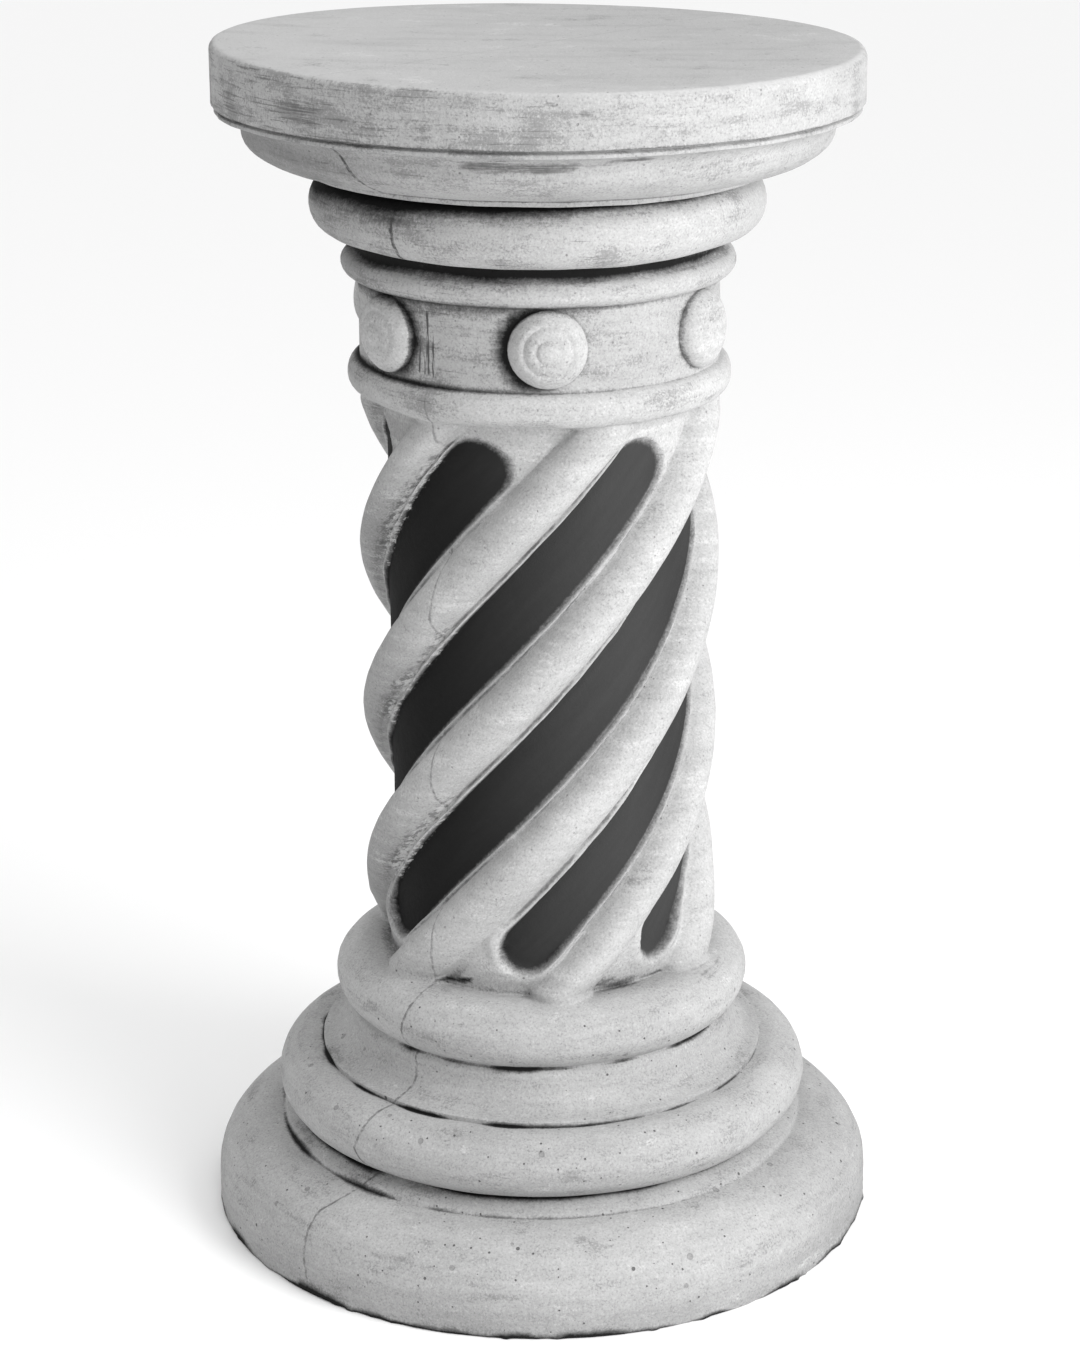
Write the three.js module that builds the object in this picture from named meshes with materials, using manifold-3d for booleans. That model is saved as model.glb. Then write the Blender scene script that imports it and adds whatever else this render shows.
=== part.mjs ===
// A decorative column, cast in stone as one piece: a round slab on a moulded capital, a frieze with
// six rosettes, a shaft of six twisted ribs with a sunk panel between each pair, and a round base.
// Millimetres, +Z up, origin at the centre of the underside, the front faces -Y.

import * as THREE from "three";
import { mergeVertices } from "three/addons/utils/BufferGeometryUtils.js";
import Module from "manifold-3d";

const wasm = await Module();
wasm.setup();

// Driving dimensions: overall
const HEIGHT = 700;
const TURNED_SIDES = 40;

// Driving dimensions: base, from the ground up
const FOOT = { radius: 199, height: 18, shoulderRadius: 152, shoulderHeight: 55.2 };
const BASE_FILLET = { radius: 158, top: 57.5, innerRadius: 146, innerTop: 62.2 };
const LOWER_ROLL = { centreRadius: 136, centreHeight: 81, reach: 24.3, rise: 20 };
const CAVETTO = { footRadius: 134, footHeight: 106.5, neckRadius: 116, neckHeight: 125 };
const UPPER_ROLL = { centreRadius: 101.5, centreHeight: 146, reach: 23.1, rise: 19.7 };

// Driving dimensions: shaft
const RIB_COUNT = 6;
const RIB_CREST = 104.5;
const RIB_ROOT = 87.5;
const RIB_HALF_WIDTH = 15.8;
const RIB_ROUNDNESS = 0.62;
const PANEL_FACE = 90;
const PANEL_FLOOR = 83;
const PANEL_HALF_WIDTH = 16.2;
const PANEL_WALL_WIDTH = 2.5;
const PANEL_LOW_CENTRE = 195.5;
const PANEL_HIGH_CENTRE = 475;
const TWIST_DEGREES_PER_MM = 0.598;
const TWIST_START_HEIGHT = 313;
const TWIST_START_DEGREES = -28;
const FLARE_TOP = 225;
const FLARE_BOTTOM = 160;
const FLARE_REACH = 6;
const SHAFT_BOTTOM = 145;
const SHAFT_TOP = 512;
const SHAFT_ROWS = 21;

// Driving dimensions: capital
const NECK_BEAD = { centreRadius: 102, centreHeight: 516.2, reach: 7.7, rise: 10 };
const FRIEZE_RADIUS = 102.8;
const CAP_BEAD = { centreRadius: 104.5, centreHeight: 580.6, reach: 7.3, rise: 7.2 };
const CAP_NECK_RADIUS = 104;
const CAP_ROLL = { centreRadius: 116, centreHeight: 613.5, reach: 12.7, rise: 16.8 };
const GORGE_RADIUS = 115;
const OVOLO_FILLET = { radius: 124, bottom: 633.4 };
const OVOLO = { innerRadius: 127.8, bottom: 636.2 };
const COVE = { width: 14.5, depth: 10.2 };
const SLAB_FILLET = { radius: 180.4, bottom: 666.2, top: 669.2 };
const SLAB = { radius: 182.2, bottom: 670.3, edgeRadius: 4.5 };

// Driving dimensions: rosettes, set by hand and so not quite evenly
const ROSETTE_AZIMUTHS = [-53.5, 2.6, 60.7, 122, 183.5, 245];
const ROSETTE_HEIGHT = 550.5;
const ROSETTE_SIDES = 14;
const ROSETTE_ROOT_DEPTH = 8;
const ROSETTE_TIP_RISE = 12;
const ROSETTE_RINGS = [
  { radius: 21.8, rise: 2.5 },
  { radius: 19.6, rise: 5.8 },
  { radius: 14.6, rise: 7.6 },
  { radius: 13, rise: 9.2 },
  { radius: 7.4, rise: 10 },
  { radius: 5.4, rise: 11.4 },
];

const COLOUR = 0xc4c4c2;

// An ellipse arc in the turning plane: x is the radius, y the height, angles in degrees
function arc(centre, from, to, steps) {
  const start = THREE.MathUtils.degToRad(from);
  const end = THREE.MathUtils.degToRad(to);
  const curve = new THREE.EllipseCurve(
    centre.centreRadius, centre.centreHeight, centre.reach, centre.rise, start, end, to < from,
  );
  return curve.getPoints(steps);
}

function point(radius, height) {
  return new THREE.Vector2(radius, height);
}

// A closed geometry without repeated points or empty triangles, as a solid
function solidOf(geometry) {
  const bare = geometry.clone();
  bare.deleteAttribute("normal");
  bare.deleteAttribute("uv");
  const welded = mergeVertices(bare, 1e-3);
  const corners = welded.index.array;
  const kept = [];
  for (let i = 0; i < corners.length; i += 3) {
    const [a, b, c] = corners.slice(i, i + 3);
    if (a !== b && b !== c && c !== a) kept.push(a, b, c);
  }
  const vertProperties = new Float32Array(welded.attributes.position.array);
  const triVerts = new Uint32Array(kept);
  return new wasm.Manifold(new wasm.Mesh({ numProp: 3, vertProperties, triVerts }));
}

function geometryOf(solid) {
  const mesh = solid.getMesh();
  const geometry = new THREE.BufferGeometry();
  geometry.setAttribute("position", new THREE.BufferAttribute(mesh.vertProperties, 3));
  geometry.setIndex(new THREE.BufferAttribute(mesh.triVerts, 1));
  geometry.computeVertexNormals();
  return geometry;
}

// A profile that starts and ends on the axis, turned about +Z
function turned(profile, sides) {
  return solidOf(new THREE.LatheGeometry(profile, sides).rotateX(Math.PI / 2));
}

// Foot, fillet, lower roll, cavetto and upper roll
function baseProfile() {
  const footShoulder = {
    centreRadius: FOOT.shoulderRadius,
    centreHeight: FOOT.height,
    reach: FOOT.radius - FOOT.shoulderRadius,
    rise: FOOT.shoulderHeight - FOOT.height,
  };
  const hollow = {
    centreRadius: CAVETTO.footRadius,
    centreHeight: CAVETTO.neckHeight,
    reach: CAVETTO.footRadius - CAVETTO.neckRadius,
    rise: CAVETTO.neckHeight - CAVETTO.footHeight,
  };
  return [
    point(0, 0),
    point(FOOT.radius, 0),
    ...arc(footShoulder, 0, 90, 4),
    point(BASE_FILLET.radius, FOOT.shoulderHeight),
    point(BASE_FILLET.radius, BASE_FILLET.top),
    point(BASE_FILLET.innerRadius, BASE_FILLET.innerTop),
    ...arc(LOWER_ROLL, -68, 90, 6),
    point(CAVETTO.footRadius, LOWER_ROLL.centreHeight + LOWER_ROLL.rise),
    ...arc(hollow, 270, 180, 3),
    ...arc(UPPER_ROLL, -62, 90, 5),
    point(0, UPPER_ROLL.centreHeight + UPPER_ROLL.rise),
  ];
}

// Neck bead, frieze, cap bead, cap roll, ovolo and cove under the slab
function capitalProfile() {
  const coveRadius = SLAB_FILLET.radius - COVE.width;
  const coveHeight = SLAB_FILLET.bottom - COVE.depth;
  const ovolo = {
    centreRadius: OVOLO.innerRadius,
    centreHeight: coveHeight,
    reach: coveRadius - OVOLO.innerRadius,
    rise: coveHeight - OVOLO.bottom,
  };
  const cove = {
    centreRadius: SLAB_FILLET.radius,
    centreHeight: coveHeight,
    reach: COVE.width,
    rise: COVE.depth,
  };
  const slabEdge = {
    centreRadius: SLAB.radius - SLAB.edgeRadius,
    centreHeight: HEIGHT - SLAB.edgeRadius,
    reach: SLAB.edgeRadius,
    rise: SLAB.edgeRadius,
  };
  return [
    point(0, NECK_BEAD.centreHeight - NECK_BEAD.rise),
    ...arc(NECK_BEAD, -90, 84, 4),
    point(FRIEZE_RADIUS, NECK_BEAD.centreHeight + NECK_BEAD.rise),
    ...arc(CAP_BEAD, -84, 84, 4),
    point(CAP_NECK_RADIUS, CAP_ROLL.centreHeight - CAP_ROLL.rise),
    ...arc(CAP_ROLL, -90, 84, 6),
    point(GORGE_RADIUS, OVOLO_FILLET.bottom),
    point(OVOLO_FILLET.radius, OVOLO_FILLET.bottom),
    point(OVOLO_FILLET.radius, OVOLO.bottom),
    ...arc(ovolo, -90, 0, 4),
    ...arc(cove, 180, 90, 3).slice(1),
    point(SLAB_FILLET.radius, SLAB_FILLET.top),
    point(SLAB.radius, SLAB.bottom),
    ...arc(slabEdge, 0, 90, 2),
    point(0, HEIGHT),
  ];
}

// How far from the rib's crest the shaft is cut into facets, in degrees, over half a rib spacing
const HALF_SPACING = 180 / RIB_COUNT;
const LEAN = Math.atan(THREE.MathUtils.degToRad(TWIST_DEGREES_PER_MM) * RIB_ROOT);
const DEGREES_PER_MM_ACROSS = THREE.MathUtils.radToDeg(1 / (RIB_ROOT * Math.cos(LEAN)));
const RIB_FOOT = RIB_HALF_WIDTH * DEGREES_PER_MM_ACROSS;
const PANEL_EDGE = HALF_SPACING - PANEL_HALF_WIDTH * DEGREES_PER_MM_ACROSS;
const PANEL_INNER_EDGE = PANEL_EDGE + PANEL_WALL_WIDTH * DEGREES_PER_MM_ACROSS;
const HALF_COLUMNS = [
  0, 0.4 * RIB_FOOT, 0.75 * RIB_FOOT, RIB_FOOT, PANEL_EDGE, PANEL_INNER_EDGE, HALF_SPACING,
];
const MIRRORED_COLUMNS = HALF_COLUMNS.slice(1, -1).reverse().map((angle) => 2 * HALF_SPACING - angle);
const COLUMNS = [...HALF_COLUMNS, ...MIRRORED_COLUMNS];

// Half-round section of a rib, by the angle from its crest; it flares out over the base's upper roll
function ribRadius(fromCrest, height) {
  const across = Math.min(Math.abs(fromCrest) / RIB_FOOT, 1);
  const flare = THREE.MathUtils.smoothstep(FLARE_TOP - height, 0, FLARE_TOP - FLARE_BOTTOM);
  const crest = RIB_CREST + FLARE_REACH * flare * flare;
  return RIB_ROOT + (crest - RIB_ROOT) * (1 - across ** 2) ** RIB_ROUNDNESS;
}

// Round-ended sunk panel that follows the twist, by the angle from its middle line
function panelRadius(fromMiddle, height) {
  const level = THREE.MathUtils.degToRad(fromMiddle) * RIB_ROOT;
  const middle = (PANEL_LOW_CENTRE + PANEL_HIGH_CENTRE) / 2;
  const halfLength = (PANEL_HIGH_CENTRE - PANEL_LOW_CENTRE) / 2 / Math.cos(LEAN);
  const along = Math.abs((height - middle) / Math.cos(LEAN) + level * Math.sin(LEAN));
  const toMiddleLine = Math.hypot(level * Math.cos(LEAN), Math.max(along - halfLength, 0));
  const outward = toMiddleLine - (PANEL_HALF_WIDTH - PANEL_WALL_WIDTH);
  const wall = THREE.MathUtils.clamp(outward / PANEL_WALL_WIDTH, 0, 1);
  return PANEL_FLOOR + (PANEL_FACE - PANEL_FLOOR) * wall;
}

// A cylinder whose rings are pressed to the ribs and panels and turned with the twist. It is mirrored,
// so that the facets fold along the twist, and its corners are reversed to keep the faces outward.
function shaft() {
  const around = RIB_COUNT * COLUMNS.length;
  const tall = SHAFT_TOP - SHAFT_BOTTOM;
  const geometry = new THREE.CylinderGeometry(1, 1, tall, around, SHAFT_ROWS).rotateX(Math.PI / 2);
  geometry.translate(0, 0, SHAFT_BOTTOM + tall / 2);
  const position = geometry.attributes.position;
  for (let i = 0; i < position.count; i += 1) {
    const x = position.getX(i);
    const y = position.getY(i);
    const z = position.getZ(i);
    if (Math.hypot(x, y) < 0.5) continue;
    const step = Math.round((Math.atan2(-x, -y) / (2 * Math.PI) + 1) * around) % around;
    const rib = Math.floor(step / COLUMNS.length);
    const column = COLUMNS[step % COLUMNS.length];
    const fromCrest = column > HALF_SPACING ? column - 2 * HALF_SPACING : column;
    const fromMiddle = column - HALF_SPACING;
    const radius = Math.max(ribRadius(fromCrest, z), panelRadius(fromMiddle, z));
    const twist = TWIST_START_DEGREES + TWIST_DEGREES_PER_MM * (z - TWIST_START_HEIGHT);
    const azimuth = THREE.MathUtils.degToRad(rib * 2 * HALF_SPACING + column + twist);
    position.setXYZ(i, radius * Math.sin(azimuth), -radius * Math.cos(azimuth), z);
  }
  geometry.index.array.reverse();
  return solidOf(geometry);
}

// A stepped dome, turned about its own axis and laid on the frieze
function rosette(degrees) {
  const rim = ROSETTE_RINGS[0].radius;
  const profile = [
    point(0, -ROSETTE_ROOT_DEPTH),
    point(rim, -ROSETTE_ROOT_DEPTH),
    ...ROSETTE_RINGS.map((ring) => point(ring.radius, ring.rise)),
    point(0, ROSETTE_TIP_RISE),
  ];
  const dome = new THREE.LatheGeometry(profile, ROSETTE_SIDES);
  dome.rotateX(Math.PI);
  dome.translate(0, -FRIEZE_RADIUS, ROSETTE_HEIGHT);
  dome.rotateZ(THREE.MathUtils.degToRad(degrees));
  return solidOf(dome);
}

let casting = turned(baseProfile(), TURNED_SIDES);
casting = casting.add(shaft());
casting = casting.add(turned(capitalProfile(), TURNED_SIDES));
for (const azimuth of ROSETTE_AZIMUTHS) {
  casting = casting.add(rosette(azimuth));
}

const material = new THREE.MeshStandardMaterial({ color: COLOUR, roughness: 0.9, metalness: 0 });
const column = new THREE.Mesh(geometryOf(casting), material);
column.name = "column";

const group = new THREE.Group();
group.add(column);

export default group;
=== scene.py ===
# A cast-stone column with twisted ribs: the fine mesh of the one casting, its weathered stone,
# a pale floor, soft studio light and the camera. Shapes are worked out in millimetres and
# turned into metres when the mesh is made. The front faces -Y.

import math

import bpy
import numpy as np
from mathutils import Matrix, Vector, noise


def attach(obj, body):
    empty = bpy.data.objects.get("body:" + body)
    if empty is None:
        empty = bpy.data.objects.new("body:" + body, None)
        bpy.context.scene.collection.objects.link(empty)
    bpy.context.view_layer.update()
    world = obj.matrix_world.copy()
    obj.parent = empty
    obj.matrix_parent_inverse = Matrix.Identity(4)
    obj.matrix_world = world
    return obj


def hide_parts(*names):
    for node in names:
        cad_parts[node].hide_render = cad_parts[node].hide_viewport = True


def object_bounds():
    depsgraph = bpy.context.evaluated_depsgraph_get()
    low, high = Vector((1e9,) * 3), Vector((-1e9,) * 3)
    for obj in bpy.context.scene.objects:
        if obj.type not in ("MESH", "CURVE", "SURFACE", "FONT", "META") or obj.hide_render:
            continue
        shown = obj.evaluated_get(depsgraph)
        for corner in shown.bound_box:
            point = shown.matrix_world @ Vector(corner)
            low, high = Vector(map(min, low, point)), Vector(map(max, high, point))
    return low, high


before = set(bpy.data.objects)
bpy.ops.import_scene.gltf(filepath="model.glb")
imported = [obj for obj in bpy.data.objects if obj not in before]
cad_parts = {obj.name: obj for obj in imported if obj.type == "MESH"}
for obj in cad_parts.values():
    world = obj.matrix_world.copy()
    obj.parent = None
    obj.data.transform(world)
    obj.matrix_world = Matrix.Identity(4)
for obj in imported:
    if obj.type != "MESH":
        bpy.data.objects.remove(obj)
cad_low, cad_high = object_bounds()

# Overall sizes, from the bounds of the parts in model.glb
MM = 0.001
HEIGHT = (cad_high.z - cad_low.z) / MM
FOOT_RADIUS = (cad_high.x - cad_low.x) / 2 / MM

# Base, from the ground up
FOOT_EDGE_HEIGHT = 18
FOOT_SHOULDER_RADIUS = 152
FOOT_SHOULDER_HEIGHT = 55.2
BASE_FILLET_RADIUS = 158
BASE_FILLET_TOP = 57
BASE_FILLET_INNER = 146.5
BASE_FILLET_INNER_TOP = 62.2
LOWER_ROLL = dict(radius=136, height=81, reach=24.3, rise=20)
CAVETTO_FOOT = (134, 103.6)
CAVETTO_NECK = (116, 125)
UPPER_ROLL = dict(radius=101.5, height=146, reach=23.1, rise=19.7)
UPPER_ROLL_END_ANGLE = 50

# Shaft
RIB_COUNT = 6
HALF_SPACING = 180 / RIB_COUNT
RIB_CREST = 104.5
RIB_ROOT = 87.5
RIB_HALF_WIDTH = 15
RIB_ROUNDNESS = 0.6
PANEL_FACE = 89.4
PANEL_FLOOR = 82.8
PANEL_FLOOR_EDGE = 12.6
PANEL_WALL_EDGE = 16
PAINT_EDGE = 14.6
PAINT_FADE_START = 13.2
PAINT_FADE_END = 17.4
NO_PAINT = -1.5
FULL_PAINT = 2.5
FAR_FROM_PANEL = 30
LIP_MIDDLE = 16.4
LIP_HALF_WIDTH = 1
LIP_RISE = 1.9
LIP_GROOVE = 17.9
TWIST_PER_MM = 0.598
TWIST_START_HEIGHT = 313
TWIST_START = -28
FLARE_TOP = 225
FLARE_BOTTOM = 160
FLARE_REACH = 6
TONGUE_HEIGHT = 186
TONGUE_HALF_HEIGHT = 15
TONGUE_RISE = 3.8
COLLAR_MIDDLE = 19.5
COLLAR_HALF_WIDTH = 3
COLLAR_RISE = 1.5
CREASE_REACH = -0.48
CREASE_RADIUS = 91.5
CREASE_HEIGHT = 165.5
SHAFT_BOTTOM = 169
SHAFT_TOP = 503
LEAN = math.atan(math.radians(TWIST_PER_MM) * RIB_ROOT)
DEGREES_PER_MM_ACROSS = math.degrees(1 / (RIB_ROOT * math.cos(LEAN)))

# Panels differ a little: left and right edge from the middle line at the foot and at the head,
# and the height of the middle of each round end
PANELS = [
    dict(foot=(-13.5, 18.5), head=(-17.5, 21), low=196, high=475),
    dict(foot=(-9, 19.4), head=(-15, 19), low=193, high=475),
    dict(foot=(-14, 11.5), head=(-15, 17), low=191, high=475),
    dict(foot=(-15, 16), head=(-15, 16), low=196, high=475),
    dict(foot=(-14, 15), head=(-22, 13.5), low=196, high=480),
    dict(foot=(-15.5, 16), head=(-17.5, 15.5), low=196, high=477),
]
PANEL_FOOT = 196
PANEL_HEAD = 475

# The two ends of a panel
UPPER = 1
LOWER = -1

# Capital
NECK_BEAD = dict(radius=102, height=516.2, reach=7.7, rise=10)
NECK_BEAD_START_ANGLE = -20
FRIEZE_RADIUS = 102.8
FRIEZE_BOTTOM = 527
FRIEZE_TOP = 574
CAP_BEAD = dict(radius=104.5, height=580.6, reach=7.3, rise=7.2)
CAP_NECK_RADIUS = 104
CAP_ROLL = dict(radius=116, height=613.5, reach=12.7, rise=16.8)
GORGE_RADIUS = 115
OVOLO_FILLET_RADIUS = 131
OVOLO_FILLET_BOTTOM = 632.2
OVOLO_INNER = 127.8
OVOLO_BOTTOM = 636.2
COVE_WIDTH = 14.5
COVE_DEPTH = 10.2
SLAB_FILLET_RADIUS = 180.4
SLAB_FILLET_BOTTOM = 666.2
SLAB_FILLET_TOP = 669.2
SLAB_RADIUS = 182.2
SLAB_BOTTOM = 670.3
SLAB_EDGE = 4.5

# Unevenness of the casting: the fall and bow of the top, the lift of the thick roll's sides, how far
# the neck bead waves, and how far the crumbs on the lips and at the ground stand out
TOP_SLOPE = 0.0145
TOP_BOW = 2.1
ROLL_SIDE_LIFT = 2.2
NECK_BEAD_WAVER = 1.5
CRUMB_RISE = 1.2
GROUND_CRUMB_RISE = 1.4

# Rosettes, with the dark side, depth and reach of the wash and painted shade round each
ROSETTE_AZIMUTHS = [-53.5, 2.6, 60.7, 122, 183.5, 245]
ROSETTE_GRIME_AND_SHADE = [(1, 1.05, 7), (-1, 1.3, 7.5)] + 4 * [(-1, 0.6, 3)]
ROSETTE_HEIGHT = 550.5
ROSETTE_RADIUS = 21.8
ROSETTE_ROOT = 6
ROSETTE_TIP = 12.2

# Where dark wash has settled, partly painted shade under the overhangs: radius, height, how far it
# spreads, how dark it is, and how much more of it there is on the left, as painted shade
GROOVES = [
    (181, 669.8, 1.6, 0.95, 0.1),
    (131, 635.7, 1.1, 1.1, 0),
    (117, 631, 8.5, 1.55, 0.5),
    (105.5, 592.4, 4.8, 1.65, 0.08),
    (104, 573.5, 6, 0.8, 0.3),
    (103.5, 526.4, 2.2, 0.8, 0.55),
    (100, 505.8, 2.2, 0.45, 0.2),
    (91.5, 165.5, 1.5, 0.85, 0.1),
    (112.5, 127.3, 1.7, 1.4, 0.1),
    (133.5, 100.6, 1.4, 1.1, 0.35),
    (146.5, 62.6, 2.1, 1, 0.5),
    (158.6, 55, 1.3, 0.6, 0.7),
    (199, 0, 3, 1.3, 0.2),
]

# Painted shade at the foot of each panel's ribs: in the left corner, and along the foot
RIB_FOOT_SHADE = [(0.8, 0.5), (1.1, 0.3), (0.7, 0.85), (0.5, 0.5), (0.6, 0.5), (0.6, 0.5)]

# Mould seam: azimuth at a few heights, with a second seam opposite
SEAM_HEIGHTS = [0, 45, 61, 80, 98, 112, 142, 190, 390, 427, 583, 598, 631, 638, 645, 662, 700]
SEAM_AZIMUTHS = [
    -43, -45, -40, -43, -41, -38, -41, -37, -37, -33, -35.5, -37.5, -38, -33.5, -35, -38.5, -40
]
SEAM_REACH = 40

# How clearly the seam shows at a few heights
SEAM_SHOW_HEIGHTS = [0, 160, 165, 510, 526, 528, 574, 576, 592, 598, 630, 633, 638, 664, 668, 700]
SEAM_SHOW_AMOUNTS = [0.7, 0.7, 0.5, 0.5, 0.2, 0, 0, 0.3, 0.3, 1, 1, 0.3, 1, 1, 0.2, 0.2]

# Edges that are knocked and rubbed: radius, height
WORN_EDGES = [(182.2, 671), (181, 699), (180.4, 668), (199, 1), (158, 57), (131, 634)]

# How much the brush has worn off at a few heights
WEAR_HEIGHTS = [0, 160, 180, 500, 515, 526, 540, 575, 590, 640, 668, 672, 700]
WEAR_AMOUNTS = [0.1, 0.1, -0.3, -0.3, 0.5, 0.45, 0.4, 0.55, 0.55, 0.5, 0.55, 0.85, 0.75]

# Stains and painted shade: azimuth and height at both ends, half width, how dark
SMUDGES_AND_SHADE = [
    (2.2, 695, 8, 690, 2.4, 0.75),
    (8, 690, 14.5, 672, 2.4, 0.6),
    (-13, 660, -2, 658.5, 5, 0.8),
    (-2, 658.5, 6, 660, 4.6, 0.9),
    (6, 660, 20, 663.5, 2.4, 0.75),
    (-44, 684, -39, 676, 5, 0.55),
    (-22, 677, -8, 674, 3.5, 0.55),
    (-31, 653, -22, 655, 3, 0.5),
    (6, 626, 12, 621, 4, 0.6),
    (-60, 615, -48, 612, 7, 0.45),
    (-14, 549, -11, 549, 4, 0.7),
    (-26, 162, -16, 160, 5, 0.35),
    (58, 163, 72, 163.5, 4, 0.6),
]

# Stretches of the column's height: where each starts, is full, is full no longer, and ends
BANDS = dict(
    foot_front=(8, 25, 48, 58),
    upper_roll=(126, 132, 162, 168),
    rib_foot=(152, 166, 172, 190),
    clean_shaft=(165, 190, 524, 528),
    shaft=(172, 195, 490, 515),
    rib_head=(494, 501, 508, 512),
    neck_bead=(498, 507, 516, 524),
    neck=(504, 510, 524, 528),
    scratches=(527, 533, 568, 575),
    cap_roll=(574, 578, 630, 633),
    cap_roll_foot=(591, 599, 604, 628),
    ovolo=(634, 638, 664, 668),
)

# Greys of the stone and the floor, from black 0 to white 1. Some stand in for light: the dark
# the stone is dimmed to with painted shade, the panel paint in light and in painted shade, the
# washes and smudges, which are partly painted shade, and the lip, partly a painted highlight
TONES = dict(
    coat_dull=0.43, coat_bright=0.49, coat_stroke=0.31, coat_sand=0.27, dark_grain=0.22,
    pale_grain=0.62, top_face=0.55, top_stroke=0.38, dim_and_shade=0.02, rubbed_pale=0.64, worn_patch=0.19,
    worn_line=0.1, thin_wash_and_shade=0.1, deep_wash_and_shade=0.012, smudge_and_shade=0.11, scratch=0.05, dark_crumb=0.06,
    pale_crumb=0.56, lip_groove=0.07, lit_panel=0.04, lit_panel_streak=0.044, shaded_panel=0.009,
    shaded_panel_streak=0.0105, lip=0.54, seam=0.05, pit=0.06, floor=0.95,
)

# Floor, light and camera, in metres and degrees
FLOOR_HALF_WIDTH = 12
KEY_SIZE = 0.8
KEY_ENERGY = 21
KEY_PLACE = Vector((1.0, -0.8, 0.95))
KEY_AIM = Vector((0, 0, 0.6))
SKY_ENERGY = 0.8
SKY_SPREAD = 90
WORLD_STRENGTH = 0.72
SENSOR_WIDTH = 36
LENS = 86.59
CAMERA_PLACE = (0, -1.8188, 0.9471)
CAMERA_DOWN = 18.74
CAMERA_ROLL = -0.2


def ellipse(centre, corner):
    """A quarter round in the turning plane, from its centre to the corner of the box round it."""
    reach = abs(corner[0] - centre[0])
    rise = abs(corner[1] - centre[1])
    return dict(radius=centre[0], height=centre[1], reach=reach, rise=rise)


def arc(shape, start, end, steps):
    """Points on an ellipse in the turning plane, from one angle in degrees to another."""
    angles = np.radians(np.linspace(start, end, steps + 1))
    across = shape["radius"] + shape["reach"] * np.cos(angles)
    up = shape["height"] + shape["rise"] * np.sin(angles)
    return list(zip(across, up))


def softened(points, radius, sharp_turn=25):
    """Rounds each corner of a profile that turns by more than sharp_turn degrees."""
    points = [Vector(point) for point in points]
    result = [points[0]]
    for before, corner, after in zip(points, points[1:], points[2:]):
        back = before - corner
        ahead = after - corner
        turn = 180 - math.degrees(back.angle(ahead, math.pi))
        if turn < sharp_turn:
            result.append(corner)
            continue
        cut = min(radius, 0.4 * back.length, 0.4 * ahead.length)
        entry = corner + back.normalized() * cut
        leave = corner + ahead.normalized() * cut
        result += [entry, (entry + leave + 2 * corner) / 4, leave]
    result.append(points[-1])
    return result


def spread(points, step):
    """Adds points along the long straight stretches of a profile."""
    result = []
    for start, end in zip(points, points[1:]):
        count = max(1, math.ceil((end - start).length / step))
        result += [start.lerp(end, step_number / count) for step_number in range(count)]
    result.append(points[-1])
    return np.array(result)


def base_profile():
    """From the rim of the underside to the crest of the upper roll."""
    shoulder = ellipse((FOOT_SHOULDER_RADIUS, FOOT_EDGE_HEIGHT), (FOOT_RADIUS, FOOT_SHOULDER_HEIGHT))
    hollow = ellipse((CAVETTO_FOOT[0], CAVETTO_NECK[1]), (CAVETTO_NECK[0], CAVETTO_FOOT[1]))
    corners = [
        (FOOT_RADIUS - 12, 0),
        (FOOT_RADIUS, 0),
        *arc(shoulder, 0, 80, 10),
        (BASE_FILLET_RADIUS, FOOT_SHOULDER_HEIGHT - 0.4),
        (BASE_FILLET_RADIUS - 1, BASE_FILLET_TOP),
        (BASE_FILLET_INNER, BASE_FILLET_INNER_TOP),
        *arc(LOWER_ROLL, -68, 84, 14),
        (CAVETTO_FOOT[0] - 1, LOWER_ROLL["height"] + LOWER_ROLL["rise"] - 1),
        *arc(hollow, 270, 180, 6),
        *arc(UPPER_ROLL, -62, UPPER_ROLL_END_ANGLE, 10),
    ]
    return spread(softened(corners, 1.6), 6.5)


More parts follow.
